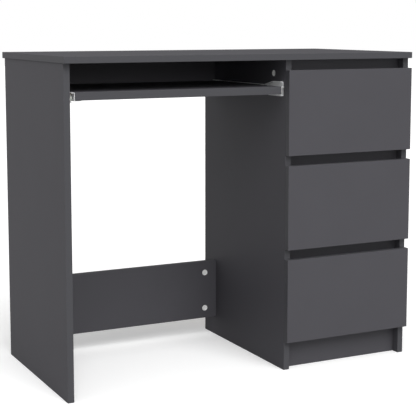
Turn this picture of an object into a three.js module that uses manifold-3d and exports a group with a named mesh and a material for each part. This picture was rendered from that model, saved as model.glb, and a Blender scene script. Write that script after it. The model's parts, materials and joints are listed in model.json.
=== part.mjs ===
// Writing desk with a pedestal of three drawers and a pull-out keyboard tray, in flat-pack board.
// Millimetres, +Z up. The origin lies on the floor under the middle of the desktop, +X runs to the
// user's right and the drawer fronts face -Y.
import * as THREE from 'three';
import { mergeVertices } from 'three/addons/utils/BufferGeometryUtils.js';
import Module from 'manifold-3d';

const wasm = await Module();
wasm.setup();

// ---------------------------------------------------------------- driving dimensions
const DESK_WIDTH = 900;
const DESK_DEPTH = 450;
const DESK_HEIGHT = 760;

const BOARD = 15; // carcass boards and drawer fronts
const TRAY_BOARD = 18;
const DRAWER_BOARD = 12;
const HARDBOARD = 3;

const PEDESTAL_WIDTH = 349;
const DRAWER_NAMES = ['top', 'middle', 'bottom'];
const LEFT_OVERHANG = 3; // desktop past the left side panel
const REAR_OVERHANG = 10; // desktop past the side panels' rear edges
const FRONT_CLEARANCE = 1; // drawer fronts to the carcass's front edges

const FINGER_GAP = 24; // above each drawer front, where fingers reach in
const PLINTH_SHOWN = 70; // floor to the lowest drawer front
const RAIL_SETBACK = 21; // front rails and plinth behind the carcass's front edges
const RAIL_OVERLAP = 18; // how far rails and plinth reach behind a drawer front's edge
const BACK_PANEL_MARGIN = 3;
const BACK_PANEL_LIFT = 40;

const STRETCHER_HEIGHT = 153;
const STRETCHER_LIFT = 50;
const STRETCHER_FROM_REAR = 50; // its rear face to the side panels' rear edges
const APRON_HEIGHT = 90;
const APRON_FROM_REAR = 41;

const KEYBOARD_CLEARANCE = 62; // desktop's underside to the tray's top
const TRAY_DEPTH = 330;

const DRAWER_DEPTH = 350; // drawer sides
const DRAWER_HEADROOM = 26; // drawer sides' upper edges below the rail above
const DRAWER_LIFT = 27; // drawer sides' lower edges above the front's lower edge
const GROOVE_LIFT = 10; // bottom panel's groove above the sides' lower edges
const GROOVE_DEPTH = 5;
const GROOVE_CLEARANCE = 0.3;

// Roller runners: a channel on the carcass, an angle under the tray or drawer side.
const RUNNER_SPACE = 12; // side gap that a runner fills
const RUNNER_STEEL = 1.2;
const RUNNER_SEAT = 0.3; // steel to the board that it is screwed to
const CHANNEL_LENGTH = 350;
const CHANNEL_HEIGHT = 24;
const FLANGE_GAP = 1.2; // channel's flanges to the angle's upright
const CHANNEL_DROP = 5; // channel's base below the lower edge of the board it carries
const CHANNEL_SETBACK = 11; // behind the carcass's front edge
const EAR_HEIGHT = 9.6; // how far the channel's top flange is raised at the front
const EAR_LENGTH = 40;
const EAR_TAPER = 40; // length over which the raised flange comes down
const LEFT_FLANGE_START = 18; // left channel's top flange, behind its front end
const ANGLE_INSET = 2; // behind the front end of the board it carries
const ANGLE_SEAT = 14; // flange under the board
const TRACK_GAP = 1.7; // flange that runs on the front roller, to the channel's web
const ROLLER_RADIUS = 9.5;
const ROLLER_CHAMFER = 0.8;
const FRONT_ROLLER_FROM_END = 10.5; // centre to the channel's front end
const REAR_ROLLER_FROM_END = 14; // centre to the rear end of the board it carries
const ROLLER_FACE_GAP = 1; // steel to the roller's flat face
const ROLLER_PLAY = 0.6; // front roller to the channel's base
const TRACK_PLAY = 0.2; // front roller to the track above it
const AXLE_RADIUS = 2.3;
const AXLE_CLEARANCE = 0.3;
const AXLE_HEAD_RADIUS = 4;
const AXLE_HEAD = 0.8;
const AXLE_HEAD_GAP = 0.2;
const AXLE_END_GAP = 0.5; // axle's head to the steel facing it
const SCREW_HOLE_RADIUS = 2.2;
const SCREW_HOLES = [70, 190, 320]; // from the channel's front end

// Cam locks in round pockets.
const CAM_RADIUS = 7.5;
const CAM_LENGTH = 12.5;
const CAM_CLEARANCE = 0.3;
const CAM_FROM_END = 33; // centre to the end of the board that the cam pulls up
const CAM_FROM_FRONT = 58; // centre to the carcass's front edge
const CAM_FROM_REAR = 20; // centre to the side panels' rear edges
const CAM_SPACING = 96; // the pair at each end of the stretcher
const CAM_PAIR_LIFT = 26.5; // lower cam above the stretcher's lower edge
const CAM_SLOT = 1.6;
const CAM_SLOT_LENGTH = 8;
const CAM_SLOT_DEPTH = 1.5;

const ROUND = 24; // sides of a round piece

// ---------------------------------------------------------------- positions
const DESKTOP_UNDERSIDE = DESK_HEIGHT - BOARD;
const FRONT_FACE = -DESK_DEPTH / 2;
const CARCASS_FRONT = FRONT_FACE + BOARD + FRONT_CLEARANCE;
const CARCASS_REAR = DESK_DEPTH / 2 - REAR_OVERHANG;
const CARCASS_DEPTH = CARCASS_REAR - CARCASS_FRONT;
const RAIL_FRONT = CARCASS_FRONT + RAIL_SETBACK;
const LEFT_PANEL_X = -DESK_WIDTH / 2 + LEFT_OVERHANG;
const LEFT_PANEL_INNER = LEFT_PANEL_X + BOARD;
const PEDESTAL_RIGHT = DESK_WIDTH / 2;
const PEDESTAL_LEFT = PEDESTAL_RIGHT - PEDESTAL_WIDTH;
const PEDESTAL_INNER_LEFT = PEDESTAL_LEFT + BOARD;
const PEDESTAL_INNER_RIGHT = PEDESTAL_RIGHT - BOARD;
const FRONT_PITCH = (DESKTOP_UNDERSIDE - PLINTH_SHOWN) / DRAWER_NAMES.length;
const FRONT_HEIGHT = FRONT_PITCH - FINGER_GAP;
const DRAWER_SIDE_HEIGHT = FRONT_HEIGHT - DRAWER_LIFT - RAIL_OVERLAP - DRAWER_HEADROOM;
const RUNNER_INSIDE = RUNNER_SPACE - 2 * (RUNNER_SEAT + RUNNER_STEEL); // between web and upright
const CHANNEL_FLANGE = RUNNER_STEEL + RUNNER_INSIDE - FLANGE_GAP;
const ANGLE_TRACK = RUNNER_INSIDE - TRACK_GAP;
const ROLLER_WIDTH = RUNNER_INSIDE - ROLLER_FACE_GAP - AXLE_HEAD_GAP - AXLE_HEAD - AXLE_END_GAP;
const TRAY_TOP = DESKTOP_UNDERSIDE - KEYBOARD_CLEARANCE;
const TRAY_UNDERSIDE = TRAY_TOP - TRAY_BOARD;
const STRETCHER_FRONT = CARCASS_REAR - STRETCHER_FROM_REAR - BOARD;
const APRON_FRONT = CARCASS_REAR - APRON_FROM_REAR - BOARD;

// ---------------------------------------------------------------- materials
function makeMaterial(color, roughness, metalness) {
  return new THREE.MeshStandardMaterial({ color, roughness, metalness });
}

const makeGreyBoard = () => makeMaterial(0x4d4d50, 0.55, 0);
const makeDrawerBoard = () => makeMaterial(0x5a5a5d, 0.6, 0);
const makeHardboard = () => makeMaterial(0x8a6a48, 0.75, 0);
const makeCoatedSteel = () => makeMaterial(0xdedddb, 0.36, 0);
const makeNylon = () => makeMaterial(0xe6e5df, 0.45, 0);
const makeZinc = () => makeMaterial(0xd8d8d7, 0.4, 0.4);

// ---------------------------------------------------------------- shape helpers
function toSolid(geometry) {
  const bare = geometry.clone();
  bare.deleteAttribute('normal');
  bare.deleteAttribute('uv');
  const merged = mergeVertices(bare, 1e-4);
  return new wasm.Manifold(
    new wasm.Mesh({
      numProp: 3,
      vertProperties: new Float32Array(merged.attributes.position.array),
      triVerts: new Uint32Array(merged.index.array),
    }),
  );
}

function toGeometry(solid) {
  const mesh = solid.getMesh();
  const geometry = new THREE.BufferGeometry();
  geometry.setAttribute('position', new THREE.BufferAttribute(mesh.vertProperties, 3));
  geometry.setIndex(new THREE.BufferAttribute(mesh.triVerts, 1));
  geometry.computeVertexNormals();
  return geometry;
}

// A box from two opposite corners, in either order on each axis.
function boxBetween(a, b) {
  const size = [0, 1, 2].map((i) => Math.abs(b[i] - a[i]));
  const middle = [0, 1, 2].map((i) => (a[i] + b[i]) / 2);
  return new THREE.BoxGeometry(...size).translate(...middle);
}

// A cylinder along +X between two values of x, centred on y and z.
function pinAlongX(x0, x1, radius, y, z) {
  const pin = new THREE.CylinderGeometry(radius, radius, Math.abs(x1 - x0), ROUND);
  return pin.rotateZ(Math.PI / 2).translate((x0 + x1) / 2, y, z);
}

// An outline of [y, z] points made into a plate between two values of x.
function plateAlongX(outline, x0, x1) {
  const shape = new THREE.Shape(outline.map(([y, z]) => new THREE.Vector2(y, z)));
  const plate = new THREE.ExtrudeGeometry(shape, { depth: Math.abs(x1 - x0), bevelEnabled: false });
  const turn = new THREE.Matrix4().makeBasis(
    new THREE.Vector3(0, 1, 0),
    new THREE.Vector3(0, 0, 1),
    new THREE.Vector3(1, 0, 0),
  );
  return plate.applyMatrix4(turn).translate(Math.min(x0, x1), 0, 0);
}

function place(group, name, geometry, material, position) {
  const mesh = new THREE.Mesh(geometry, material);
  mesh.name = name;
  mesh.position.set(...position);
  group.add(mesh);
  return mesh;
}

// A plain rectangular board whose lowest corner is at the given place.
function addBoard(group, name, corner, size, material = makeGreyBoard()) {
  const centre = corner.map((low, i) => low + size[i] / 2);
  return place(group, name, new THREE.BoxGeometry(...size), material, centre);
}

// ---------------------------------------------------------------- cam locks
const FACING = {
  '+X': [0, Math.PI / 2, 0],
  '-X': [0, -Math.PI / 2, 0],
  '+Y': [-Math.PI / 2, 0, 0],
  '-Y': [Math.PI / 2, 0, 0],
};

// A cylinder whose outer end is at the origin and which reaches back along -Z.
function camBlank(radius, length) {
  return new THREE.CylinderGeometry(radius, radius, length, ROUND)
    .rotateX(Math.PI / 2)
    .translate(0, 0, -length / 2);
}

function camGeometry() {
  const half = CAM_SLOT_LENGTH / 2;
  const across = boxBetween([-half, -CAM_SLOT / 2, -CAM_SLOT_DEPTH], [half, CAM_SLOT / 2, 1]);
  const along = boxBetween([-CAM_SLOT / 2, -half, -CAM_SLOT_DEPTH], [CAM_SLOT / 2, half, 1]);
  const body = toSolid(camBlank(CAM_RADIUS, CAM_LENGTH));
  return toGeometry(body.subtract(toSolid(across)).subtract(toSolid(along)));
}

// A board with a cam lock flush in its face at each [x, y, z].
function addCamBoard(group, name, corner, size, facing, camPlaces, camNames) {
  const centre = corner.map((low, i) => low + size[i] / 2);
  let board = toSolid(new THREE.BoxGeometry(...size));
  const turn = new THREE.Matrix4().makeRotationFromEuler(new THREE.Euler(...FACING[facing]));
  for (const camPlace of camPlaces) {
    const local = camPlace.map((value, i) => value - centre[i]);
    const pocket = camBlank(CAM_RADIUS + CAM_CLEARANCE, 2 * (CAM_LENGTH + CAM_CLEARANCE));
    pocket.translate(0, 0, CAM_LENGTH + CAM_CLEARANCE).applyMatrix4(turn).translate(...local);
    board = board.subtract(toSolid(pocket));
  }
  place(group, name, toGeometry(board), makeGreyBoard(), centre);
  camPlaces.forEach((camPlace, i) => {
    const cam = place(group, camNames[i], camGeometry(), makeZinc(), camPlace);
    cam.rotation.set(...FACING[facing]);
  });
}

// ---------------------------------------------------------------- roller runners
// Each runner is built from the wall outwards: 'inward' is +1 or -1, the way from the wall to the
// board. The channel's own origin is on its back, at its front end and base.
function channelGeometry(inward) {
  const steel = RUNNER_STEEL;
  const flange = inward * CHANNEL_FLANGE;
  const topEdge = [
    [0, CHANNEL_HEIGHT + EAR_HEIGHT],
    [EAR_LENGTH, CHANNEL_HEIGHT + EAR_HEIGHT],
    [EAR_LENGTH + EAR_TAPER, CHANNEL_HEIGHT],
    [CHANNEL_LENGTH, CHANNEL_HEIGHT],
  ];
  const flangeStart = inward > 0 ? LEFT_FLANGE_START : 0;
  const flangeTop = [[flangeStart, CHANNEL_HEIGHT + EAR_HEIGHT], ...topEdge.slice(1)];
  const flangeUnder = flangeTop.map(([y, z]) => [y, z - steel]).reverse();
  const parts = [
    plateAlongX([...topEdge, [CHANNEL_LENGTH, 0], [0, 0]], 0, inward * steel),
    plateAlongX([...flangeTop, ...flangeUnder], 0, flange),
    boxBetween([0, 0, 0], [flange, CHANNEL_LENGTH, steel]),
    ...axle(inward, FRONT_ROLLER_FROM_END, frontRollerHeight()),
  ];
  let channel = parts.map(toSolid).reduce((whole, part) => whole.add(part));
  for (const y of SCREW_HOLES) {
    const hole = pinAlongX(-inward, inward * 2 * steel, SCREW_HOLE_RADIUS, y, CHANNEL_HEIGHT / 2);
    channel = channel.subtract(toSolid(hole));
  }
  return toGeometry(channel);
}

// A riveted axle with a flat head, standing on the runner's steel.
function axle(away, y, z) {
  const rollerEnd = RUNNER_STEEL + ROLLER_FACE_GAP + ROLLER_WIDTH;
  const headStart = rollerEnd + AXLE_HEAD_GAP;
  const headEnd = headStart + AXLE_HEAD;
  return [
    pinAlongX(0, away * headEnd, AXLE_RADIUS, y, z),
    pinAlongX(away * headStart, away * headEnd, AXLE_HEAD_RADIUS, y, z),
  ];
}

function frontRollerHeight() {
  return RUNNER_STEEL + ROLLER_PLAY + ROLLER_RADIUS;
}

// The rear roller runs on the channel's base.
function rearRollerHeight() {
  return RUNNER_STEEL + ROLLER_RADIUS;
}

// The angle's own origin is on its back, at its front end and the height of the channel's base.
function angleGeometry(inward, length) {
  const outward = -inward;
  const steel = RUNNER_STEEL;
  const seat = CHANNEL_DROP - RUNNER_SEAT;
  const trackUnder = frontRollerHeight() + ROLLER_RADIUS + TRACK_PLAY;
  const rollerY = length - REAR_ROLLER_FROM_END;
  const parts = [
    boxBetween([0, 0, seat - steel], [outward * steel, length, trackUnder + steel]),
    boxBetween([outward * steel, 0, seat - steel], [inward * ANGLE_SEAT, length, seat]),
    boxBetween([0, 0, trackUnder], [outward * (steel + ANGLE_TRACK), length, trackUnder + steel]),
    ...axle(outward, rollerY, rearRollerHeight()),
  ];
  return toGeometry(parts.map(toSolid).reduce((whole, part) => whole.add(part)));
}

function rollerGeometry() {
  const bore = AXLE_RADIUS + AXLE_CLEARANCE;
  const half = ROLLER_WIDTH / 2;
  const rim = ROLLER_RADIUS - ROLLER_CHAMFER;
  const profile = [
    [bore, -half], [rim, -half], [ROLLER_RADIUS, ROLLER_CHAMFER - half],
    [ROLLER_RADIUS, half - ROLLER_CHAMFER], [rim, half], [bore, half], [bore, -half],
  ].map(([radius, along]) => new THREE.Vector2(radius, along));
  return new THREE.LatheGeometry(profile, ROUND).rotateZ(Math.PI / 2);
}

// Both halves of one runner, and its two rollers if they are wanted as pieces of their own.
function addRunner(group, prefix, side, wallX, inward, boardFront, boardRear, boardUnder, withRollers) {
  const base = boardUnder - CHANNEL_DROP;
  const channelFront = CARCASS_FRONT + CHANNEL_SETBACK;
  const angleFront = boardFront + ANGLE_INSET;
  const angleLength = boardRear - angleFront;
  const channelX = wallX + inward * RUNNER_SEAT;
  const angleX = wallX + inward * (RUNNER_SPACE - RUNNER_SEAT);
  const channelName = `${prefix}_channel_${side}`;
  const angleName = `${prefix}_angle_${side}`;
  const channel = channelGeometry(inward);
  place(group, channelName, channel, makeCoatedSteel(), [channelX, channelFront, base]);
  const angle = angleGeometry(inward, angleLength);
  place(group, angleName, angle, makeCoatedSteel(), [angleX, angleFront, base]);
  if (!withRollers) {
    return;
  }
  const rollerMiddle = RUNNER_STEEL + ROLLER_FACE_GAP + ROLLER_WIDTH / 2;
  const frontPlace = [
    channelX + inward * rollerMiddle,
    channelFront + FRONT_ROLLER_FROM_END,
    base + frontRollerHeight(),
  ];
  const rearPlace = [
    angleX - inward * rollerMiddle,
    boardRear - REAR_ROLLER_FROM_END,
    base + rearRollerHeight(),
  ];
  place(group, `${prefix}_front_roller_${side}`, rollerGeometry(), makeNylon(), frontPlace);
  place(group, `${prefix}_rear_roller_${side}`, rollerGeometry(), makeNylon(), rearPlace);
}

// ---------------------------------------------------------------- carcass
function makeCarcass() {
  const group = new THREE.Group();
  const camZ = DESKTOP_UNDERSIDE - CAM_FROM_END;
  const camFront = CARCASS_FRONT + CAM_FROM_FRONT;
  const camRear = CARCASS_REAR - CAM_FROM_REAR;
  const sideSize = [BOARD, CARCASS_DEPTH, DESKTOP_UNDERSIDE];

  addBoard(
    group,
    'desktop',
    [-DESK_WIDTH / 2, FRONT_FACE, DESKTOP_UNDERSIDE],
    [DESK_WIDTH, DESK_DEPTH, BOARD],
  );

  const sides = [
    ['left_side_panel', LEFT_PANEL_X, '+X', LEFT_PANEL_INNER],
    ['pedestal_left_panel', PEDESTAL_LEFT, '-X', PEDESTAL_LEFT],
    ['pedestal_right_panel', PEDESTAL_INNER_RIGHT, '-X', PEDESTAL_INNER_RIGHT],
  ];
  for (const [name, x, facing, faceX] of sides) {
    const camPlaces = [[faceX, camFront, camZ], [faceX, camRear, camZ]];
    const camNames = [`${name}_cam_front`, `${name}_cam_rear`];
    addCamBoard(group, name, [x, CARCASS_FRONT, 0], sideSize, facing, camPlaces, camNames);
  }

  const kneeWidth = PEDESTAL_LEFT - LEFT_PANEL_INNER;
  const camLeft = LEFT_PANEL_INNER + CAM_FROM_END;
  const camRight = PEDESTAL_LEFT - CAM_FROM_END;
  const lowerCam = STRETCHER_LIFT + CAM_PAIR_LIFT;
  const upperCam = lowerCam + CAM_SPACING;
  addCamBoard(
    group,
    'lower_stretcher',
    [LEFT_PANEL_INNER, STRETCHER_FRONT, STRETCHER_LIFT],
    [kneeWidth, BOARD, STRETCHER_HEIGHT],
    '-Y',
    [
      [camLeft, STRETCHER_FRONT, lowerCam],
      [camLeft, STRETCHER_FRONT, upperCam],
      [camRight, STRETCHER_FRONT, lowerCam],
      [camRight, STRETCHER_FRONT, upperCam],
    ],
    [
      'stretcher_cam_left_lower',
      'stretcher_cam_left_upper',
      'stretcher_cam_right_lower',
      'stretcher_cam_right_upper',
    ],
  );

  const apronRear = APRON_FRONT + BOARD;
  const apronBottom = DESKTOP_UNDERSIDE - APRON_HEIGHT;
  const apronCam = apronBottom + APRON_HEIGHT / 2;
  addCamBoard(
    group,
    'rear_apron',
    [LEFT_PANEL_INNER, APRON_FRONT, apronBottom],
    [kneeWidth, BOARD, APRON_HEIGHT],
    '+Y',
    [[camLeft, apronRear, apronCam], [camRight, apronRear, apronCam]],
    ['apron_cam_left', 'apron_cam_right'],
  );

  addPedestalCrossPieces(group);
  return group;
}

function addPedestalCrossPieces(group) {
  const width = PEDESTAL_INNER_RIGHT - PEDESTAL_INNER_LEFT;
  const addRail = (name, bottom, top) =>
    addBoard(group, name, [PEDESTAL_INNER_LEFT, RAIL_FRONT, bottom], [width, BOARD, top - bottom]);

  addRail('plinth', 0, PLINTH_SHOWN + RAIL_OVERLAP);
  DRAWER_NAMES.forEach((name, i) => {
    const gapTop = DESKTOP_UNDERSIDE - i * FRONT_PITCH;
    const gapBottom = gapTop - FINGER_GAP;
    const railTop = i === 0 ? gapTop : gapTop + RAIL_OVERLAP;
    addRail(`rail_above_${name}_drawer`, gapBottom - RAIL_OVERLAP, railTop);
  });

  addBoard(
    group,
    'pedestal_back_panel',
    [PEDESTAL_LEFT + BACK_PANEL_MARGIN, CARCASS_REAR, BACK_PANEL_LIFT],
    [
      PEDESTAL_WIDTH - 2 * BACK_PANEL_MARGIN,
      HARDBOARD,
      DESKTOP_UNDERSIDE - BACK_PANEL_MARGIN - BACK_PANEL_LIFT,
    ],
    makeHardboard(),
  );
}

// ---------------------------------------------------------------- keyboard tray
function makeTray() {
  const group = new THREE.Group();
  const left = LEFT_PANEL_INNER + RUNNER_SPACE;
  const right = PEDESTAL_LEFT - RUNNER_SPACE;
  const rear = CARCASS_FRONT + TRAY_DEPTH;
  addBoard(
    group,
    'keyboard_tray',
    [left, CARCASS_FRONT, TRAY_UNDERSIDE],
    [right - left, TRAY_DEPTH, TRAY_BOARD],
  );
  addRunner(group, 'tray', 'left', LEFT_PANEL_INNER, 1, CARCASS_FRONT, rear, TRAY_UNDERSIDE, true);
  addRunner(group, 'tray', 'right', PEDESTAL_LEFT, -1, CARCASS_FRONT, rear, TRAY_UNDERSIDE, true);
  return group;
}

// ---------------------------------------------------------------- drawers
function drawerSideGeometry(grooveToward) {
  const half = DRAWER_BOARD / 2;
  const height = DRAWER_SIDE_HEIGHT;
  const board = boxBetween([-half, 0, 0], [half, DRAWER_DEPTH, height]);
  const groove = boxBetween(
    [grooveToward * (half - GROOVE_DEPTH), -1, GROOVE_LIFT],
    [grooveToward * (half + 1), DRAWER_DEPTH + 1, GROOVE_LIFT + HARDBOARD + 2 * GROOVE_CLEARANCE],
  );
  return toGeometry(toSolid(board).subtract(toSolid(groove)));
}

// The front's own origin is in the middle of its front face, at its lower edge.
function drawerFrontGeometry(grooveHalf) {
  const half = PEDESTAL_WIDTH / 2;
  const grooveBottom = DRAWER_LIFT + GROOVE_LIFT;
  const board = boxBetween([-half, 0, 0], [half, BOARD, FRONT_HEIGHT]);
  const groove = boxBetween(
    [-grooveHalf, BOARD - GROOVE_DEPTH, grooveBottom],
    [grooveHalf, BOARD + 1, grooveBottom + HARDBOARD + 2 * GROOVE_CLEARANCE],
  );
  return toGeometry(toSolid(board).subtract(toSolid(groove)));
}

function makeDrawer(name, frontBottom) {
  const group = new THREE.Group();
  const middle = (PEDESTAL_LEFT + PEDESTAL_RIGHT) / 2;
  const boxHalf = (PEDESTAL_INNER_RIGHT - PEDESTAL_INNER_LEFT) / 2 - RUNNER_SPACE;
  const innerHalf = boxHalf - DRAWER_BOARD;
  const panelHalf = innerHalf + GROOVE_DEPTH - GROOVE_CLEARANCE;
  const frontBack = FRONT_FACE + BOARD;
  const rear = frontBack + DRAWER_DEPTH;
  const under = frontBottom + DRAWER_LIFT;
  const panelFront = frontBack - GROOVE_DEPTH + GROOVE_CLEARANCE;
  const panelUnder = under + GROOVE_LIFT + GROOVE_CLEARANCE;
  const backUnder = panelUnder + HARDBOARD + GROOVE_CLEARANCE;

  place(
    group,
    `${name}_drawer_front`,
    drawerFrontGeometry(panelHalf + GROOVE_CLEARANCE),
    makeGreyBoard(),
    [middle, FRONT_FACE, frontBottom],
  );
  for (const [side, sign] of [['left', -1], ['right', 1]]) {
    const sideX = middle + sign * (boxHalf - DRAWER_BOARD / 2);
    const wallX = middle + sign * (boxHalf + RUNNER_SPACE);
    place(
      group,
      `${name}_drawer_side_${side}`,
      drawerSideGeometry(-sign),
      makeDrawerBoard(),
      [sideX, frontBack, under],
    );
    addRunner(group, `${name}_drawer`, side, wallX, -sign, frontBack, rear, under, false);
  }
  addBoard(
    group,
    `${name}_drawer_back`,
    [middle - innerHalf, rear - DRAWER_BOARD, backUnder],
    [2 * innerHalf, DRAWER_BOARD, under + DRAWER_SIDE_HEIGHT - backUnder],
    makeDrawerBoard(),
  );
  addBoard(
    group,
    `${name}_drawer_bottom`,
    [middle - panelHalf, panelFront, panelUnder],
    [2 * panelHalf, rear - panelFront, HARDBOARD],
    makeHardboard(),
  );
  return group;
}

// ---------------------------------------------------------------- assembly
const desk = new THREE.Group();
desk.add(makeCarcass());
desk.add(makeTray());
DRAWER_NAMES.forEach((name, i) => {
  const frontTop = DESKTOP_UNDERSIDE - FINGER_GAP - i * FRONT_PITCH;
  desk.add(makeDrawer(name, frontTop - FRONT_HEIGHT));
});

export default desk;
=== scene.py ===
"""Writing desk with a drawer pedestal and a keyboard tray: finishes, small fittings and studio.

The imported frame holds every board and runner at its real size. This script gives them their
finishes, adds the fittings that the frame leaves out, and sets up a floor, lights and a camera.
Lengths are metres in the frame's own axes: +X is the user's right, -Y the front and +Z up.
"""
import json
import math

import bmesh
import bpy
from bpy.props import FloatProperty, FloatVectorProperty, IntProperty, PointerProperty
from mathutils import Matrix, Vector

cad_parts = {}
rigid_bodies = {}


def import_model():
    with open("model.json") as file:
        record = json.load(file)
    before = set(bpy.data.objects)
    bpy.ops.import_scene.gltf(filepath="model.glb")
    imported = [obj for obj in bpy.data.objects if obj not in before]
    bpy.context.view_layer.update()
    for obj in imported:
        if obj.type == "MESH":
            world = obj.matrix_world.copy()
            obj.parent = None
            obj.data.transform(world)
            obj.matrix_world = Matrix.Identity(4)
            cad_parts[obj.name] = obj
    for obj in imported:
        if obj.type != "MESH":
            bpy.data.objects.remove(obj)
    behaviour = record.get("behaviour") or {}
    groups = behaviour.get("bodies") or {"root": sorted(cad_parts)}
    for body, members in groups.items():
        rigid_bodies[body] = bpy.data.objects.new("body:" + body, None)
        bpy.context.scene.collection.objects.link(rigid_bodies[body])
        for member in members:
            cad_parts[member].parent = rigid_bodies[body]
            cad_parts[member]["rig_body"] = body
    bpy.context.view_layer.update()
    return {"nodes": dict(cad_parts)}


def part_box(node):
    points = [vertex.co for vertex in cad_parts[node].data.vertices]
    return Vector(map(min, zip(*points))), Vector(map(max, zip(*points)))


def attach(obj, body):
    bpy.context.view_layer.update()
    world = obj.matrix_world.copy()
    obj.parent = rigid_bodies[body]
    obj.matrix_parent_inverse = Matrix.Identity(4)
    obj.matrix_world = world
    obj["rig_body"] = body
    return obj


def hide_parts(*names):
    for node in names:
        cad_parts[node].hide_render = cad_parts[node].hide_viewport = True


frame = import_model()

bl_info = {
    "name": "Writing desk finishes",
    "version": (1, 0, 0),
    "blender": (4, 5, 0),
    "location": "3D View > Sidebar > Desk",
    "description": "Gives the writing desk its finishes and small fittings, and a studio to see it in",
    "category": "Object",
}

NODES = frame["nodes"]
MM = 0.001

DRAWERS = ("top_drawer", "middle_drawer", "bottom_drawer")
SIDES = {"left": 1, "right": -1}  # the way from that wall to the board that slides
GREY_BOARDS = (
    "desktop",
    "left_side_panel",
    "pedestal_left_panel",
    "pedestal_right_panel",
    "plinth",
    "lower_stretcher",
    "rear_apron",
    "keyboard_tray",
    *(f"rail_above_{drawer}" for drawer in DRAWERS),
    *(f"{drawer}_front" for drawer in DRAWERS),
)
DRAWER_BOARDS = tuple(
    f"{drawer}_{part}" for drawer in DRAWERS for part in ("side_left", "side_right", "back")
)
DRAWER_BOTTOMS = tuple(f"{drawer}_bottom" for drawer in DRAWERS)
RUNNERS = tuple(
    f"{slider}_{part}_{side}"
    for slider in ("tray", *DRAWERS)
    for part in ("channel", "angle")
    for side in SIDES
)
CAMS = {  # cam lock node: the way its face looks
    "left_side_panel_cam_front": (1, 0, 0),
    "left_side_panel_cam_rear": (1, 0, 0),
    "pedestal_left_panel_cam_front": (-1, 0, 0),
    "pedestal_left_panel_cam_rear": (-1, 0, 0),
    "pedestal_right_panel_cam_front": (-1, 0, 0),
    "pedestal_right_panel_cam_rear": (-1, 0, 0),
    "stretcher_cam_left_lower": (0, -1, 0),
    "stretcher_cam_left_upper": (0, -1, 0),
    "stretcher_cam_right_lower": (0, -1, 0),
    "stretcher_cam_right_upper": (0, -1, 0),
    "apron_cam_left": (0, 1, 0),
    "apron_cam_right": (0, 1, 0),
}

RUNNER_STEEL = 1.2 * MM  # thickness of the frame's channels and angles
RUNNER_SCREWS = (70 * MM, 190 * MM, 320 * MM)  # from the channel's front end
RUNNER_SCREW_HEIGHT = 12 * MM  # above the channel's base
SEAT_SCREWS = (0.1, 0.5, 0.86)  # shares of the angle's length
SEAT_SCREW_INSET = 7 * MM  # from the free edge of the angle's flange

SHARP = math.radians(32)  # edges turned more than this stay crisp
FLOOR_SQUARES = 8  # along each side of the floor
SOFTBOX_DISTANCE = 3  # metres; its light is the same from anywhere on its line


# ---------------------------------------------------------------- what a user would change
def linear(hex_colour):
    """An sRGB hex colour as linear red, green and blue."""
    channels = [int(hex_colour[i : i + 2], 16) / 255 for i in (1, 3, 5)]
    return [c / 12.92 if c <= 0.04045 else ((c + 0.055) / 1.055) ** 2.4 for c in channels]


def colour(name, description, hex_colour):
    """A colour that the user can change."""
    return FloatVectorProperty(
        name=name,
        description=description,
        subtype="COLOR",
        size=3,
        min=0.0,
        max=1.0,
        default=linear(hex_colour),
    )


def length(name, description, millimetres):
    """A length that the user can change."""
    return FloatProperty(
        name=name,
        description=description,
        subtype="DISTANCE",
        unit="LENGTH",
        min=0.0,
        precision=4,
        default=millimetres * MM,
    )


def angle(name, description, degrees):
    """An angle that the user can change."""
    return FloatProperty(
        name=name,
        description=description,
        subtype="ANGLE",
        unit="ROTATION",
        default=math.radians(degrees),
    )


def strength(name, description, default):
    """A light's strength that the user can change."""
    return FloatProperty(name=name, description=description, default=default, min=0.0)


class DeskColours(bpy.types.PropertyGroup):
    """Colours of the finishes."""

    board: colour("Boards", "Decor of the melamine-faced boards", "#49484d")
    edge_band: colour("Edge bands", "Plastic bands on the boards' narrow edges", "#47474b")
    drawer_board: colour("Drawer boards", "Foil on the drawer sides and backs", "#56565a")
    hardboard_face: colour("Hardboard face", "Lacquer on the hardboard's good side", "#4b4b4e")
    hardboard_back: colour("Hardboard back", "Bare rear side of the back panel", "#8a6a48")
    runner: colour("Runners", "Powder coat on the runners' steel", "#e8e9ea")
    nylon: colour("Rollers", "Moulded nylon of the rollers", "#dddcd6")
    cam: colour("Cam locks", "Cast zinc of the cam locks", "#fbfbfa")
    screw: colour("Screws", "Bright zinc plating on screws and nails", "#bfc1c4")
    floor: colour("Floor", "Painted studio floor", "#fbfbfb")
    floor_bounce: colour("Floor bounce", "What the floor throws back at the desk", "#a8a8a8")


class DeskSizes(bpy.types.PropertyGroup):
    """Sizes of the edges and the small fittings."""

    board_round: length("Board edge radius", "Rounding where the edge band is trimmed", 0.7)
    steel_round: length("Steel edge radius", "Rounding along the pressed steel's edges", 0.25)
    cam_boss: length("Cam boss radius", "Raised middle of a cam lock's face", 4.1)
    drawer_cam: length("Drawer cam radius", "Cam locks inside the drawer sides", 6)
    drawer_cam_boss: length("Drawer cam boss radius", "Raised middle of a drawer cam's face", 3.3)
    drawer_cam_depth: length("Drawer cam depth", "How thick the drawer cam is made", 2)
    drawer_cam_rise: length("Drawer cam rise", "How far a drawer cam stands proud", 0.15)
    drawer_cam_inset: length("Drawer cam inset", "From the drawer front to the cam's centre", 30)
    screw_head: length("Screw head radius", "Flat heads of the runner screws", 3.5)
    screw_rise: length("Screw head rise", "How far a flat head stands proud", 0.45)
    nail_head: length("Nail head radius", "Nails of the back panel", 2.6)
    nail_spacing: length("Nail spacing", "Between two nails of the back panel", 105)
    nail_inset: length("Nail inset", "From the back panel's edge to a nail's centre", 5)
    roller_bore: length("Roller bore radius", "Hole that turns on the runner's axle", 2.6)
    roller_steps: IntProperty(
        name="Roller facets",
        description="Steps round each roller",
        default=72,
        min=24,
    )


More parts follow.
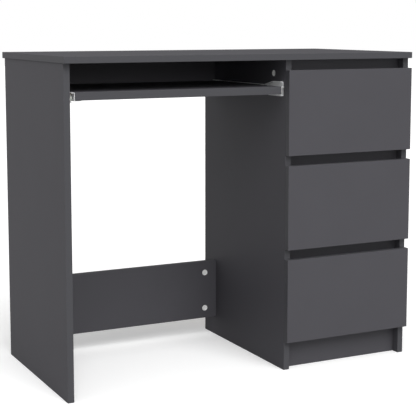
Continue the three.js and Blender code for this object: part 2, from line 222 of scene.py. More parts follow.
class DeskStudio(bpy.types.PropertyGroup):
    """Camera, lights and floor."""

    camera_place: FloatVectorProperty(
        name="Camera place",
        description="Where the camera stands",
        subtype="TRANSLATION",
        unit="LENGTH",
        size=3,
        default=(-1.2617, -2.5182, 0.8272),
    )
    camera_turn: angle("Camera turn", "Turned to the right of straight at the front", 26.647)
    camera_tilt: angle("Camera tilt", "Tilted down from level", 6.875)
    camera_lens: FloatProperty(
        name="Lens",
        description="Focal length, in millimetres",
        default=98.934,
        min=1.0,
    )
    camera_rise: FloatProperty(
        name="Vertical shift",
        description="Lens shift, in picture widths",
        default=-0.1101,
    )
    room_light: strength("Room light", "Mean strength of the light all round", 0.61)
    room_lean: FloatVectorProperty(
        name="Room light's lean",
        description="How much stronger the room light is from that way than its mean",
        subtype="XYZ",
        size=3,
        default=(-0.35, -0.3, 0.0),
    )
    key_light: strength("Key light", "Strength of the large, far softbox", 2.05)
    key_height: angle("Key height", "The softbox's height above the horizon", 48)
    key_spread: angle("Key spread", "How wide the softbox looks from the desk", 42)
    floor_light: strength("Floor light", "Light on the floor alone", 0.22)
    floor_size: length("Floor size", "Side of the square floor", 40000)


# ---------------------------------------------------------------- materials
MIX_FACTOR, MIX_A, MIX_B, MIX_RESULT = 0, 6, 7, 2  # colour sockets of a Mix node


def add_node(tree, kind, settings=None, values=None, links=None):
    """Adds a node with its own settings, its sockets' values and links {socket: (node, output)}."""
    node = tree.nodes.new(kind)
    for name, value in (settings or {}).items():
        setattr(node, name, value)
    for socket, value in (values or {}).items():
        node.inputs[socket].default_value = value
    for socket, (source, output) in (links or {}).items():
        tree.links.new(source.outputs[output], node.inputs[socket])
    return node


def start_material(name, **surface):
    """A material with a shader that has these values; gives it, its nodes, shader and coordinates."""
    material = bpy.data.materials.new(name)
    material.use_nodes = True
    tree = material.node_tree
    tree.nodes.clear()
    values = {socket.replace("_", " "): value for socket, value in surface.items()}
    shader = add_node(tree, "ShaderNodeBsdfPrincipled", values=values)
    add_node(tree, "ShaderNodeOutputMaterial", links={"Surface": (shader, "BSDF")})
    coordinates = add_node(tree, "ShaderNodeTexCoord")
    return material, tree, shader, coordinates


def per_metre(millimetres):
    """The scale of a pattern whose features are that wide."""
    return 1000 / millimetres


def opaque(rgb, shade=1.0):
    """A socket's value for a colour, made darker or paler by a factor."""
    return [*(channel * shade for channel in rgb), 1.0]


def pressed_melamine(colours, broad_axis):
    """Melamine-faced chipboard, pressed against a matt steel plate.

    The plate leaves a grain of 0.3 mm, drawn 1.6 mm wide so that it shows, which spreads the
    highlight wide and soft. The decor paper under it varies by a few per cent over a hand's
    breadth. The extruded edge band on the narrow edges is a touch smoother than the faces.
    """
    material, tree, shader, coordinates = start_material(
        f"pressed_melamine_chipboard_{'XYZ'[broad_axis].lower()}",
        Specular_IOR_Level=0.42,
    )
    paper = add_node(
        tree,
        "ShaderNodeTexNoise",
        values={"Scale": per_metre(85), "Detail": 3.0, "Roughness": 0.55},
        links={"Vector": (coordinates, "Object")},
    )
    decor = add_node(
        tree,
        "ShaderNodeMix",
        settings={"data_type": "RGBA"},
        values={MIX_A: opaque(colours.board, 0.955), MIX_B: opaque(colours.board, 1.045)},
        links={MIX_FACTOR: (paper, "Fac")},
    )
    normal = add_node(
        tree, "ShaderNodeSeparateXYZ", links={"Vector": (coordinates, "Normal")}
    )
    across = add_node(
        tree,
        "ShaderNodeMath",
        settings={"operation": "ABSOLUTE"},
        links={0: (normal, "XYZ"[broad_axis])},
    )
    narrow = add_node(
        tree,
        "ShaderNodeMapRange",
        values={"From Min": 0.75, "From Max": 0.35, "To Min": 0.0, "To Max": 1.0},
        links={"Value": (across, "Value")},
    )
    surface = add_node(
        tree,
        "ShaderNodeMix",
        settings={"data_type": "RGBA"},
        values={MIX_B: opaque(colours.edge_band)},
        links={MIX_FACTOR: (narrow, "Result"), MIX_A: (decor, MIX_RESULT)},
    )
    sheen = add_node(
        tree,
        "ShaderNodeMapRange",
        values={"To Min": 0.56, "To Max": 0.47},
        links={"Value": (narrow, "Result")},
    )
    plate = add_node(
        tree,
        "ShaderNodeTexNoise",
        values={"Scale": per_metre(1.6), "Detail": 2.0, "Roughness": 0.6},
        links={"Vector": (coordinates, "Object")},
    )
    relief = add_node(
        tree,
        "ShaderNodeBump",
        values={"Strength": 0.1, "Distance": 0.25 * MM},
        links={"Height": (plate, "Fac")},
    )
    tree.links.new(surface.outputs[MIX_RESULT], shader.inputs["Base Color"])
    tree.links.new(sheen.outputs["Result"], shader.inputs["Roughness"])
    tree.links.new(relief.outputs["Normal"], shader.inputs["Normal"])
    return material


def foil_wrapped_board(colours):
    """Chipboard wrapped in printed paper foil.

    The foil is duller than melamine and shows the chips below as shallow waves about 6 mm apart.
    """
    material, tree, shader, coordinates = start_material(
        "foil_wrapped_chipboard", Roughness=0.62, Specular_IOR_Level=0.35
    )
    fibre = add_node(
        tree,
        "ShaderNodeTexNoise",
        values={"Scale": per_metre(2.4), "Detail": 4.0},
        links={"Vector": (coordinates, "Object")},
    )
    print_colour = add_node(
        tree,
        "ShaderNodeMix",
        settings={"data_type": "RGBA"},
        values={
            MIX_A: opaque(colours.drawer_board, 0.93),
            MIX_B: opaque(colours.drawer_board, 1.07),
        },
        links={MIX_FACTOR: (fibre, "Fac")},
    )
    chips = add_node(
        tree,
        "ShaderNodeTexNoise",
        values={"Scale": per_metre(6), "Detail": 2.0},
        links={"Vector": (coordinates, "Object")},
    )
    relief = add_node(
        tree,
        "ShaderNodeBump",
        values={"Strength": 0.12, "Distance": 0.4 * MM},
        links={"Height": (chips, "Fac")},
    )
    tree.links.new(print_colour.outputs[MIX_RESULT], shader.inputs["Base Color"])
    tree.links.new(relief.outputs["Normal"], shader.inputs["Normal"])
    return material


def hardboard(name, face, back, face_axis, face_side):
    """Wet-pressed hardboard, lacquered on one side.

    The good side, which looks along an axis towards plus or minus 1, is an even lacquer. The
    other side keeps the wire screen's imprint, a mesh 1.5 mm apart drawn 3 mm apart so that it
    shows, over a brown of pressed wood fibre.
    """
    material, tree, shader, coordinates = start_material(
        name, Roughness=0.66, Specular_IOR_Level=0.3
    )
    fibre = add_node(
        tree,
        "ShaderNodeTexNoise",
        values={"Scale": per_metre(4), "Detail": 6.0, "Roughness": 0.7},
        links={"Vector": (coordinates, "Object")},
    )
    bare = add_node(
        tree,
        "ShaderNodeMix",
        settings={"data_type": "RGBA"},
        values={MIX_A: opaque(back, 0.72), MIX_B: opaque(back, 1.25)},
        links={MIX_FACTOR: (fibre, "Fac")},
    )
    lacquer = add_node(
        tree,
        "ShaderNodeMix",
        settings={"data_type": "RGBA"},
        values={MIX_A: opaque(face, 0.95), MIX_B: opaque(face, 1.05)},
        links={MIX_FACTOR: (fibre, "Fac")},
    )
    normal = add_node(
        tree, "ShaderNodeSeparateXYZ", links={"Vector": (coordinates, "Normal")}
    )
    good_side = add_node(
        tree,
        "ShaderNodeMapRange",
        values={"From Min": 0.4 * face_side, "From Max": 0.6 * face_side},
        links={"Value": (normal, "XYZ"[face_axis])},
    )
    surface = add_node(
        tree,
        "ShaderNodeMix",
        settings={"data_type": "RGBA"},
        links={
            MIX_FACTOR: (good_side, "Result"),
            MIX_A: (bare, MIX_RESULT),
            MIX_B: (lacquer, MIX_RESULT),
        },
    )
    screen = add_node(
        tree,
        "ShaderNodeTexVoronoi",
        settings={"distance": "CHEBYCHEV"},
        values={"Scale": per_metre(3), "Randomness": 0.15},
        links={"Vector": (coordinates, "Object")},
    )
    imprint = add_node(
        tree,
        "ShaderNodeMath",
        settings={"operation": "SUBTRACT", "use_clamp": True},
        links={0: (screen, "Distance"), 1: (good_side, "Result")},
    )
    relief = add_node(
        tree,
        "ShaderNodeBump",
        values={"Strength": 0.35, "Distance": 0.3 * MM},
        links={"Height": (imprint, "Value")},
    )
    tree.links.new(surface.outputs[MIX_RESULT], shader.inputs["Base Color"])
    tree.links.new(relief.outputs["Normal"], shader.inputs["Normal"])
    return material


def powder_coated_steel(colours):
    """Sheet steel, pressed and then coated with epoxy powder.

    The baked powder flows out to a soft gloss, with an orange peel about 1.5 mm wide, and it
    is a shade paler where it lies thicker, over some 10 mm.
    """
    material, tree, shader, coordinates = start_material(
        "epoxy_powder_coated_steel", Roughness=0.36, IOR=1.55
    )
    thickness = add_node(
        tree,
        "ShaderNodeTexNoise",
        values={"Scale": per_metre(10), "Detail": 3.0},
        links={"Vector": (coordinates, "Object")},
    )
    coat = add_node(
        tree,
        "ShaderNodeMix",
        settings={"data_type": "RGBA"},
        values={MIX_A: opaque(colours.runner, 0.93), MIX_B: opaque(colours.runner, 1.05)},
        links={MIX_FACTOR: (thickness, "Fac")},
    )
    peel = add_node(
        tree,
        "ShaderNodeTexNoise",
        values={"Scale": per_metre(1.5), "Detail": 1.0},
        links={"Vector": (coordinates, "Object")},
    )
    relief = add_node(
        tree,
        "ShaderNodeBump",
        values={"Strength": 0.15, "Distance": 0.1 * MM},
        links={"Height": (peel, "Fac")},
    )
    tree.links.new(coat.outputs[MIX_RESULT], shader.inputs["Base Color"])
    tree.links.new(relief.outputs["Normal"], shader.inputs["Normal"])
    return material


def cast_zinc(colours):
    """Zinc alloy, pressure die-cast and tumbled.

    Tumbling rounds the grain to soft pits about 0.5 mm wide, drawn 0.9 mm wide, and leaves a
    pale bloom of oxide that scatters most of the light, so the cams look whitish and satin.
    """
    material, tree, shader, coordinates = start_material(
        "tumbled_die_cast_zinc", Metallic=0.1, Roughness=0.4
    )
    pits = add_node(
        tree,
        "ShaderNodeTexNoise",
        values={"Scale": per_metre(0.9), "Detail": 3.0},
        links={"Vector": (coordinates, "Object")},
    )
    skin = add_node(
        tree,
        "ShaderNodeMix",
        settings={"data_type": "RGBA"},
        values={MIX_A: opaque(colours.cam, 0.88), MIX_B: opaque(colours.cam, 1.08)},
        links={MIX_FACTOR: (pits, "Fac")},
    )
    relief = add_node(
        tree,
        "ShaderNodeBump",
        values={"Strength": 0.2, "Distance": 0.15 * MM},
        links={"Height": (pits, "Fac")},
    )
    tree.links.new(skin.outputs[MIX_RESULT], shader.inputs["Base Color"])
    tree.links.new(relief.outputs["Normal"], shader.inputs["Normal"])
    return material


def plated_screw(colours):
    """Screw steel, cold-headed and zinc plated.

    Thin bright plating gleams like polished metal, and the die leaves faint marks 1.5 mm apart.
    """
    material, tree, shader, coordinates = start_material(
        "cold_headed_zinc_plated_screw", Metallic=1.0
    )
    marks = add_node(
        tree,
        "ShaderNodeTexNoise",
        values={"Scale": per_metre(1.5), "Detail": 2.0},
        links={"Vector": (coordinates, "Object")},
    )
    plating = add_node(
        tree,
        "ShaderNodeMix",
        settings={"data_type": "RGBA"},
        values={MIX_A: opaque(colours.screw, 0.85), MIX_B: opaque(colours.screw, 1.08)},
        links={MIX_FACTOR: (marks, "Fac")},
    )
    polish = add_node(
        tree,
        "ShaderNodeMapRange",
        values={"To Min": 0.22, "To Max": 0.4},
        links={"Value": (marks, "Fac")},
    )
    tree.links.new(plating.outputs[MIX_RESULT], shader.inputs["Base Color"])
    tree.links.new(polish.outputs["Result"], shader.inputs["Roughness"])
    return material


def moulded_nylon(colours):
    """Nylon 6, injection moulded and undyed.

    A little light passes through the wheel's thin parts, and the mould's spark-eroded face
    leaves a fine grain, about 0.4 mm wide drawn 0.8 mm wide.
    """
    material, tree, shader, coordinates = start_material(
        "moulded_natural_nylon",
        Roughness=0.4,
        IOR=1.53,
        Subsurface_Weight=0.12,
        Subsurface_Scale=0.8 * MM,
    )
    grain = add_node(
        tree,
        "ShaderNodeTexNoise",
        values={"Scale": per_metre(0.8), "Detail": 2.0},
        links={"Vector": (coordinates, "Object")},
    )
    resin = add_node(
        tree,
        "ShaderNodeMix",
        settings={"data_type": "RGBA"},
        values={MIX_A: opaque(colours.nylon, 0.92), MIX_B: opaque(colours.nylon, 1.04)},
        links={MIX_FACTOR: (grain, "Fac")},
    )
    relief = add_node(
        tree,
        "ShaderNodeBump",
        values={"Strength": 0.08, "Distance": 0.1 * MM},
        links={"Height": (grain, "Fac")},
    )
    tree.links.new(resin.outputs[MIX_RESULT], shader.inputs["Base Color"])
    tree.links.new(relief.outputs["Normal"], shader.inputs["Normal"])
    return material


def painted_floor(colours, light):
    """A rolled coat of matt paint: pale and even, with a faint orange-peel some 4 mm wide.

    Lamps of its own brighten the floor, as under a studio's backdrop, and don't reach the desk.
    """
    material, tree, shader, coordinates = start_material(
        "rolled_matt_floor_paint",
        Roughness=0.75,
        Specular_IOR_Level=0.2,
        Emission_Color=opaque(colours.floor),
    )
    peel = add_node(
        tree,
        "ShaderNodeTexNoise",
        values={"Scale": per_metre(4), "Detail": 2.0},
        links={"Vector": (coordinates, "Object")},
    )
    coat = add_node(
        tree,
        "ShaderNodeMix",
        settings={"data_type": "RGBA"},
        values={MIX_A: opaque(colours.floor, 0.985), MIX_B: opaque(colours.floor, 1.0)},
        links={MIX_FACTOR: (peel, "Fac")},
    )
    rays = add_node(tree, "ShaderNodeLightPath")
    seen = add_node(
        tree,
        "ShaderNodeMix",
        settings={"data_type": "RGBA"},
        values={MIX_A: opaque(colours.floor_bounce)},
        links={MIX_FACTOR: (rays, "Is Camera Ray"), MIX_B: (coat, MIX_RESULT)},
    )
    own_light = add_node(
        tree,
        "ShaderNodeMath",
        settings={"operation": "MULTIPLY"},
        values={1: light},
        links={0: (rays, "Is Camera Ray")},
    )
    tree.links.new(seen.outputs[MIX_RESULT], shader.inputs["Base Color"])
    tree.links.new(own_light.outputs["Value"], shader.inputs["Emission Strength"])
    return material


# ---------------------------------------------------------------- shapes and pieces
def ring(shape, radius, height_at, steps):
    """A ring of vertices round Z, each at the height that height_at gives for its number."""
    points = []
    for i in range(steps):
        turn = 2 * math.pi * i / steps
        points.append(
            shape.verts.new((radius * math.cos(turn), radius * math.sin(turn), height_at(i)))
        )
    return points


def turned(shape, profile, steps, closed=False):
    """Turns a profile of (radius, height) pairs round Z. A height may be a function of the step."""
    rings = []
    for radius, height in profile:
        height_at = height if callable(height) else (lambda _, height=height: height)
        rings.append(ring(shape, radius, height_at, steps))
    following = rings[1:] + (rings[:1] if closed else [])
    for near, far in zip(rings, following):
        for i in range(steps):
            j = (i + 1) % steps
            shape.faces.new((near[i], near[j], far[j], far[i]))
    return rings


def arc(centre_radius, centre_height, size, start, end, steps):
    """Points (radius, height) on an arc of that size in a profile, between angles in degrees."""
    turns = [math.radians(start + (end - start) * i / steps) for i in range(steps + 1)]
    return [
        (centre_radius + size * math.cos(turn), centre_height + size * math.sin(turn))
        for turn in turns
    ]


def cross_outline(reach, half_width):
    """Twelve points round a cross, for a driver's recess."""
    quarter = [(reach, -half_width), (reach, half_width), (half_width, half_width)]
    quarter_turns = ((1, 0), (0, 1), (-1, 0), (0, -1))
    return [(x * c - y * s, x * s + y * c) for c, s in quarter_turns for x, y in quarter]


def loop_edges(shape, points):
    """The edges round a closed loop of vertices, made where there are none yet."""
    pairs = zip(points, points[1:] + points[:1])
    return [shape.edges.get(pair) or shape.edges.new(pair) for pair in pairs]


def face_with_recess(shape, rim, outline, depth, taper):
    """Fills a level ring of vertices with a face that has a tapered recess in it."""
    height = rim[0].co.z
    mouth = [shape.verts.new((x, y, height)) for x, y in outline]
    floor = [shape.verts.new((x * taper, y * taper, height - depth)) for x, y in outline]
    edges = loop_edges(shape, rim) + loop_edges(shape, mouth)
    bmesh.ops.triangle_fill(shape, edges=edges, use_beauty=True)
    for i in range(len(outline)):
        j = (i + 1) % len(outline)
        shape.faces.new((mouth[i], mouth[j], floor[j], floor[i]))
    shape.faces.new(floor)


def cam_shape(radius, boss, depth):
    """A cam lock seen from its face, which looks along +Z: rim, sunk ring, boss, cross recess."""
    steps = 48
    sunk = 0.5 * MM
    land = 0.55 * MM
    bevel = 0.35 * MM
    shape = bmesh.new()
    rings = turned(
        shape,
        [
            (boss, 0),
            (boss + bevel, -sunk),
            (radius - land - 2 * bevel, -sunk),
            (radius - land - bevel, 0),
            (radius - bevel, 0),
            (radius, -bevel),
            (radius, bevel - depth),
            (radius - bevel, -depth),
        ],
        steps,
    )
    reach = 0.78 * boss
    recess = min(2.6 * MM, 0.6 * depth)
    face_with_recess(shape, rings[0], cross_outline(reach, 0.24 * reach), recess, 0.8)
    shape.faces.new(rings[-1])
    return shape


def screw_shape(head, rise):
    """A flat-headed screw along -Z with a cross recess; its seat is at the origin."""
    steps = 28
    shank = 0.58 * head
    reach = 0.5 * head
    recess = 0.35 * head
    shape = bmesh.new()
    rings = turned(
        shape,
        [
            (0.74 * head, rise),
            (0.93 * head, 0.7 * rise),
            (head, 0.25 * rise),
            (head, 0),
            (shank, shank - head),
            (shank, -3 * head),
        ],
        steps,
    )
    face_with_recess(shape, rings[0], cross_outline(reach, 0.26 * reach), recess, 0.7)
    shape.faces.new(rings[-1])
    return shape


def nail_shape(head):
    """A low domed nail head; its seat is at the origin."""
    steps = 24
    shank = 0.5 * head
    dome = arc(0, -1.6 * head, 1.85 * head, 58, 86, 4)
    shape = bmesh.new()
    rings = turned(shape, [(shank, -2 * head), (shank, 0), *dome], steps)
    shape.faces.new(rings[0])
    shape.faces.new(rings[-1])
    return shape


def roller_shape(radius, width, bore, steps):
    """A moulded wheel round Z: hub, recessed web with ribs on both sides, rounded tread."""
    half = width / 2
    hub = bore + 1.5 * MM
    tread = radius - 1.9 * MM
    draft = 0.25 * MM
    round_off = 0.7 * MM
    web = half - 1.3 * MM
    rib = half - 0.25 * MM
    ribs = 6
    rib_steps = 3
    pitch = steps // ribs

    def web_height(side):
        return lambda i: side * (rib if i % pitch < rib_steps else web)

    def face(side):
        return [
            (bore, side * half),
            (hub, side * half),
            (hub + draft, web_height(side)),
            (tread - draft, web_height(side)),
            (tread, side * half),
        ]

    shape = bmesh.new()
    shoulder = arc(radius - round_off, round_off - half, round_off, -90, 0, 4)
    shoulder += arc(radius - round_off, half - round_off, round_off, 0, 90, 4)
    turned(shape, [*face(-1), *shoulder, *reversed(face(1))], steps, closed=True)
    return shape


def facing(direction, point):
    """The place whose +Z looks along a direction."""
    turn = Vector(direction).to_track_quat("Z", "Y").to_matrix().to_4x4()
    return Matrix.Translation(point) @ turn


def repeated(make_shape, places):
    """One shape with a copy of make_shape() at each place."""
    whole = bmesh.new()
    for place in places:
        copy = make_shape()
        copy.transform(place)
        mesh = bpy.data.meshes.new("copy")
        copy.to_mesh(mesh)
        copy.free()
        whole.from_mesh(mesh)
        bpy.data.meshes.remove(mesh)
    return whole


def add_piece(name, shape, material, body, stands_for=()):
    """Makes a piece of a shape, which rides on a body and may stand for nodes of the frame."""
    bmesh.ops.recalc_face_normals(shape, faces=shape.faces)
    mesh = bpy.data.meshes.new(name)
    shape.to_mesh(mesh)
    shape.free()
    mesh.shade_smooth()
    mesh.set_sharp_from_angle(angle=SHARP)
    mesh.materials.append(material)
    piece = bpy.data.objects.new(name, mesh)
    bpy.context.scene.collection.objects.link(piece)
    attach(piece, body)
    if stands_for:
        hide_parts(*stands_for)
    return piece


def finish_node(name, material, round_size, segments=2):
    """Gives a node of the frame its material and takes the sharpness off its edges."""
    node = NODES[name]
    node.data.materials.clear()
    node.data.materials.append(material)
    weld = node.modifiers.new("one_skin", "WELD")
    weld.merge_threshold = 0.01 * MM
    bevel = node.modifiers.new("eased_edges", "BEVEL")
    bevel.limit_method = "ANGLE"
    bevel.angle_limit = SHARP
    bevel.width = round_size
    bevel.segments = segments


def middle(node):
    """The middle of a node's box."""
    low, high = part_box(node)
    return (low + high) / 2


def body_of(node):
    """The name of the body that a node of the frame rides on."""
    return NODES[node]["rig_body"]


# ---------------------------------------------------------------- operators
class DESK_OT_set_up_studio(bpy.types.Operator):
    """Lay the floor, light the room and stand the camera in front of the desk"""

    bl_idname = "desk.set_up_studio"
    bl_label = "Set up the studio"

    def execute(self, context):
        studio = context.scene.desk_studio
        self.lay_floor(context.scene, studio)
        self.light_room(context.scene, studio)
        self.hang_softbox(context.scene, studio)
        self.stand_camera(context.scene, studio)
        return {"FINISHED"}

    def lay_floor(self, scene, studio):
        shape = bmesh.new()
        bmesh.ops.create_grid(
            shape,
            x_segments=FLOOR_SQUARES,
            y_segments=FLOOR_SQUARES,
            size=studio.floor_size / 2,
        )
        mesh = bpy.data.meshes.new("studio_floor")
        shape.to_mesh(mesh)
        shape.free()
        mesh.materials.append(painted_floor(scene.desk_colours, studio.floor_light))
        floor = bpy.data.objects.new("studio_floor", mesh)
        scene.collection.objects.link(floor)

    def light_room(self, scene, studio):
        """White to the camera; on the desk, light from all round that leans to one side."""
        white = opaque(linear("#ffffff"))
        world = bpy.data.worlds.new("studio_room")
        world.use_nodes = True
        tree = world.node_tree
        tree.nodes.clear()
        rays = add_node(tree, "ShaderNodeLightPath")
        direction = add_node(tree, "ShaderNodeTexCoord")
        lean = add_node(
            tree,
            "ShaderNodeVectorMath",
            settings={"operation": "DOT_PRODUCT"},
            values={1: studio.room_lean},
            links={0: (direction, "Generated")},
        )
        level = add_node(
            tree,
            "ShaderNodeMath",
            settings={"operation": "ADD"},
            values={1: studio.room_light},
            links={0: (lean, "Value")},
        )
        lit = add_node(
            tree,
            "ShaderNodeBackground",
            values={"Color": white},
            links={"Strength": (level, "Value")},
        )
        seen = add_node(
            tree,
            "ShaderNodeBackground",
            values={"Color": white, "Strength": 1.0},
        )
        either = add_node(
            tree,
            "ShaderNodeMixShader",
            links={0: (rays, "Is Camera Ray"), 1: (lit, "Background"), 2: (seen, "Background")},
        )
        add_node(tree, "ShaderNodeOutputWorld", links={"Surface": (either, "Shader")})
        scene.world = world
        scene.view_settings.view_transform = "Standard"

    def hang_softbox(self, scene, studio):
        """A softbox so large and far away that it lights the whole desk evenly from the front."""
        light = bpy.data.lights.new("far_softbox", "SUN")
        light.energy = studio.key_light
        light.angle = studio.key_spread
        softbox = bpy.data.objects.new("far_softbox", light)
        toward = Vector((0, -math.cos(studio.key_height), math.sin(studio.key_height)))
        softbox.matrix_world = facing(toward, SOFTBOX_DISTANCE * toward)
        scene.collection.objects.link(softbox)

    def stand_camera(self, scene, studio):
        data = bpy.data.cameras.new("camera")
        data.lens = studio.camera_lens
        data.shift_y = studio.camera_rise
        camera = bpy.data.objects.new("camera", data)
        camera.location = studio.camera_place
        camera.rotation_euler = (math.pi / 2 - studio.camera_tilt, 0, -studio.camera_turn)
        scene.collection.objects.link(camera)
        scene.camera = camera


class DESK_OT_finish_boards(bpy.types.Operator):
    """Give the carcass boards, drawer fronts and tray their melamine faces and eased edges"""

    bl_idname = "desk.finish_boards"
    bl_label = "Finish the grey boards"

    def execute(self, context):
        colours = context.scene.desk_colours
        sizes = context.scene.desk_sizes
        melamine = [pressed_melamine(colours, axis) for axis in range(3)]
        for name in GREY_BOARDS:
            low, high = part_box(name)
            size = high - low
            broad_axis = min(range(3), key=lambda axis: size[axis])
            finish_node(name, melamine[broad_axis], sizes.board_round)
        return {"FINISHED"}


class DESK_OT_finish_drawer_boxes(bpy.types.Operator):
    """Give the drawer sides, backs and bottoms their foil and lacquer"""

    bl_idname = "desk.finish_drawer_boxes"
    bl_label = "Finish the drawer boxes"

    def execute(self, context):
        colours = context.scene.desk_colours
        sizes = context.scene.desk_sizes
        foil = foil_wrapped_board(colours)
        for name in DRAWER_BOARDS:
            finish_node(name, foil, sizes.board_round)
        lacquered = hardboard(
            "lacquered_hardboard_bottom", colours.hardboard_face, colours.hardboard_back, 2, 1
        )
        for name in DRAWER_BOTTOMS:
            finish_node(name, lacquered, sizes.steel_round)
        return {"FINISHED"}


class DESK_OT_finish_back_panel(bpy.types.Operator):
    """Give the pedestal's back panel its two faces and nail it on"""

    bl_idname = "desk.finish_back_panel"
    bl_label = "Finish and nail the back panel"

    def execute(self, context):
        colours = context.scene.desk_colours
        sizes = context.scene.desk_sizes
        panel = "pedestal_back_panel"
        lacquered = hardboard(
            "lacquered_hardboard_back", colours.hardboard_face, colours.hardboard_back, 1, -1
        )
        finish_node(panel, lacquered, sizes.steel_round)
        low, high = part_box(panel)
        corner_gap = 2 * sizes.nail_inset
        first = low.z + corner_gap
        last = high.z - corner_gap
        rows = round((last - first) / sizes.nail_spacing)
        places = [
            facing((0, 1, 0), (x, high.y, first + (last - first) * i / rows))
            for x in (low.x + sizes.nail_inset, high.x - sizes.nail_inset)
            for i in range(rows + 1)
        ]
        nails = repeated(lambda: nail_shape(sizes.nail_head), places)
        add_piece("back_panel_nails", nails, plated_screw(colours), "carcass")
        return {"FINISHED"}


class DESK_OT_fit_cam_locks(bpy.types.Operator):
    """Fit the cast cam locks into the boards' round pockets"""

    bl_idname = "desk.fit_cam_locks"
    bl_label = "Fit the cam locks"

    def execute(self, context):
        sizes = context.scene.desk_sizes
        zinc = cast_zinc(context.scene.desk_colours)
        for node, direction in CAMS.items():
            low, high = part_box(node)
            axis = max(range(3), key=lambda i: abs(direction[i]))
            centre = middle(node)
            centre[axis] = high[axis] if direction[axis] > 0 else low[axis]
            radius = (high.z - low.z) / 2
            shape = cam_shape(radius, sizes.cam_boss, high[axis] - low[axis])
            shape.transform(facing(direction, centre))
            add_piece(f"cast_{node}", shape, zinc, body_of(node), [node])
        return {"FINISHED"}


class DESK_OT_finish_runners(bpy.types.Operator):
    """Give the runners' channels and angles their powder coat and screw them down"""

    bl_idname = "desk.finish_runners"
    bl_label = "Finish and screw the runners"

    def execute(self, context):
        colours = context.scene.desk_colours
        sizes = context.scene.desk_sizes
        coated = powder_coated_steel(colours)
        bright = plated_screw(colours)
        for node in RUNNERS:
            finish_node(node, coated, sizes.steel_round, segments=1)
            places = self.channel_screws(node) if "_channel_" in node else self.seat_screws(node)
            screws = repeated(lambda: screw_shape(sizes.screw_head, sizes.screw_rise), places)
            add_piece(f"{node}_screws", screws, bright, body_of(node))
        return {"FINISHED"}

    def channel_screws(self, node):
        """Places in the channel's web, looking away from the wall that it is screwed to."""
        low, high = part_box(node)
        inward = SIDES[node.rsplit("_", 1)[1]]
        x = low.x + RUNNER_STEEL if inward > 0 else high.x - RUNNER_STEEL
        z = low.z + RUNNER_SCREW_HEIGHT
        return [facing((inward, 0, 0), (x, low.y + y, z)) for y in RUNNER_SCREWS]

    def seat_screws(self, node):
        """Places under the angle's flange, looking down."""
        low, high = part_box(node)
        inward = SIDES[node.rsplit("_", 1)[1]]
        x = high.x - SEAT_SCREW_INSET if inward > 0 else low.x + SEAT_SCREW_INSET
        return [
            facing((0, 0, -1), (x, low.y + share * (high.y - low.y), low.z))
            for share in SEAT_SCREWS
        ]


class DESK_OT_fit_rollers(bpy.types.Operator):
    """Put the nylon rollers on the axles of all eight runners"""

    bl_idname = "desk.fit_rollers"
    bl_label = "Fit the rollers"

    def execute(self, context):
        nylon = moulded_nylon(context.scene.desk_colours)
        sizes = context.scene.desk_sizes
        for side in SIDES:
            for end, part in (("front", "channel"), ("rear", "angle")):
                node = f"tray_{end}_roller_{side}"
                wheel = self.wheel(node, middle(node), sizes)
                add_piece(f"nylon_{node}", wheel, nylon, body_of(node), [node])
                for drawer in DRAWERS:
                    wheel = self.wheel(node, self.beside(drawer, part, side, end), sizes)
                    name = f"nylon_{drawer}_{end}_roller_{side}"
                    add_piece(name, wheel, nylon, body_of(f"{drawer}_{part}_{side}"))
        return {"FINISHED"}

    def beside(self, drawer, part, side, end):
        """The place on a drawer's runner that the tray's roller has on the tray's runner."""
        tray_low, tray_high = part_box(f"tray_{part}_{side}")
        low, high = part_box(f"{drawer}_{part}_{side}")
        centre = middle(f"tray_{end}_roller_{side}")
        from_end = low.y - tray_low.y if end == "front" else high.y - tray_high.y
        return centre + Vector((low.x - tray_low.x, from_end, low.z - tray_low.z))

    def wheel(self, node, centre, sizes):
        """A wheel round X, as large as a node of the frame."""
        low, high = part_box(node)
        radius = (high.z - low.z) / 2
        shape = roller_shape(radius, high.x - low.x, sizes.roller_bore, sizes.roller_steps)
        shape.transform(facing((1, 0, 0), centre))
        return shape


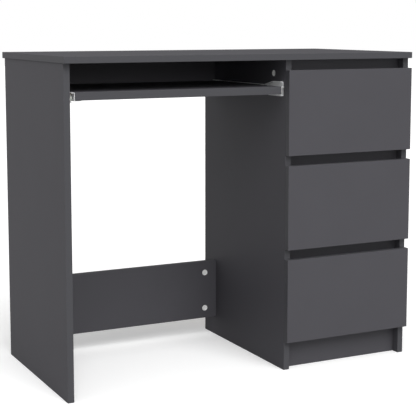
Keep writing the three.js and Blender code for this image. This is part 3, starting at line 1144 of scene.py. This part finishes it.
class DESK_OT_fit_drawer_fittings(bpy.types.Operator):
    """Fit the cam locks and screws that hold each drawer box together"""

    bl_idname = "desk.fit_drawer_fittings"
    bl_label = "Fit the drawer fittings"

    def execute(self, context):
        colours = context.scene.desk_colours
        sizes = context.scene.desk_sizes
        zinc = cast_zinc(colours)
        bright = plated_screw(colours)

        def cam():
            return cam_shape(sizes.drawer_cam, sizes.drawer_cam_boss, sizes.drawer_cam_depth)

        def screw():
            return screw_shape(sizes.screw_head, sizes.screw_rise)

        for drawer in DRAWERS:
            cams = repeated(cam, self.cam_places(drawer, sizes))
            add_piece(f"{drawer}_cam_locks", cams, zinc, drawer)
            screws = repeated(screw, self.screw_places(drawer))
            add_piece(f"{drawer}_back_screws", screws, bright, drawer)
        return {"FINISHED"}

    def cam_places(self, drawer, sizes):
        """Places on the inner faces of the sides, behind the front."""
        places = []
        for side, inward in SIDES.items():
            low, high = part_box(f"{drawer}_side_{side}")
            inner = high.x if inward > 0 else low.x
            x = inner + inward * sizes.drawer_cam_rise
            y = low.y + sizes.drawer_cam_inset
            places += [facing((inward, 0, 0), (x, y, z)) for z in self.quarters(low.z, high.z)]
        return places

    def screw_places(self, drawer):
        """Places on the outer faces of the sides, level with the middle of the back."""
        back_low, back_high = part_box(f"{drawer}_back")
        y = (back_low.y + back_high.y) / 2
        places = []
        for side, inward in SIDES.items():
            low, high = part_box(f"{drawer}_side_{side}")
            outer = low.x if inward > 0 else high.x
            heights = self.quarters(back_low.z, back_high.z)
            places += [facing((-inward, 0, 0), (outer, y, z)) for z in heights]
        return places

    def quarters(self, low, high):
        """The heights a quarter of the way from either edge of a board."""
        quarter = (high - low) / 4
        return low + quarter, high - quarter


OPERATORS = (
    DESK_OT_set_up_studio,
    DESK_OT_finish_boards,
    DESK_OT_finish_drawer_boxes,
    DESK_OT_finish_back_panel,
    DESK_OT_fit_cam_locks,
    DESK_OT_finish_runners,
    DESK_OT_fit_rollers,
    DESK_OT_fit_drawer_fittings,
)
GROUPS = {"desk_colours": DeskColours, "desk_sizes": DeskSizes, "desk_studio": DeskStudio}


class DESK_PT_build(bpy.types.Panel):
    """Lists the desk's building steps and what can be changed about them"""

    bl_idname = "DESK_PT_build"
    bl_label = "Writing desk"
    bl_space_type = "VIEW_3D"
    bl_region_type = "UI"
    bl_category = "Desk"

    def draw(self, context):
        for operator in OPERATORS:
            self.layout.operator(operator.bl_idname)
        for name, group in GROUPS.items():
            box = self.layout.box()
            for setting in group.__annotations__:
                box.prop(getattr(context.scene, name), setting)


CLASSES = (*GROUPS.values(), *OPERATORS, DESK_PT_build)


def register():
    for cls in CLASSES:
        bpy.utils.register_class(cls)
    for name, group in GROUPS.items():
        setattr(bpy.types.Scene, name, PointerProperty(type=group))


def unregister():
    for name in GROUPS:
        delattr(bpy.types.Scene, name)
    for cls in reversed(CLASSES):
        bpy.utils.unregister_class(cls)


def main():
    register()
    bpy.ops.desk.set_up_studio()
    bpy.ops.desk.finish_boards()
    bpy.ops.desk.finish_drawer_boxes()
    bpy.ops.desk.finish_back_panel()
    bpy.ops.desk.fit_cam_locks()
    bpy.ops.desk.finish_runners()
    bpy.ops.desk.fit_rollers()
    bpy.ops.desk.fit_drawer_fittings()


if __name__ == "__main__":
    main()
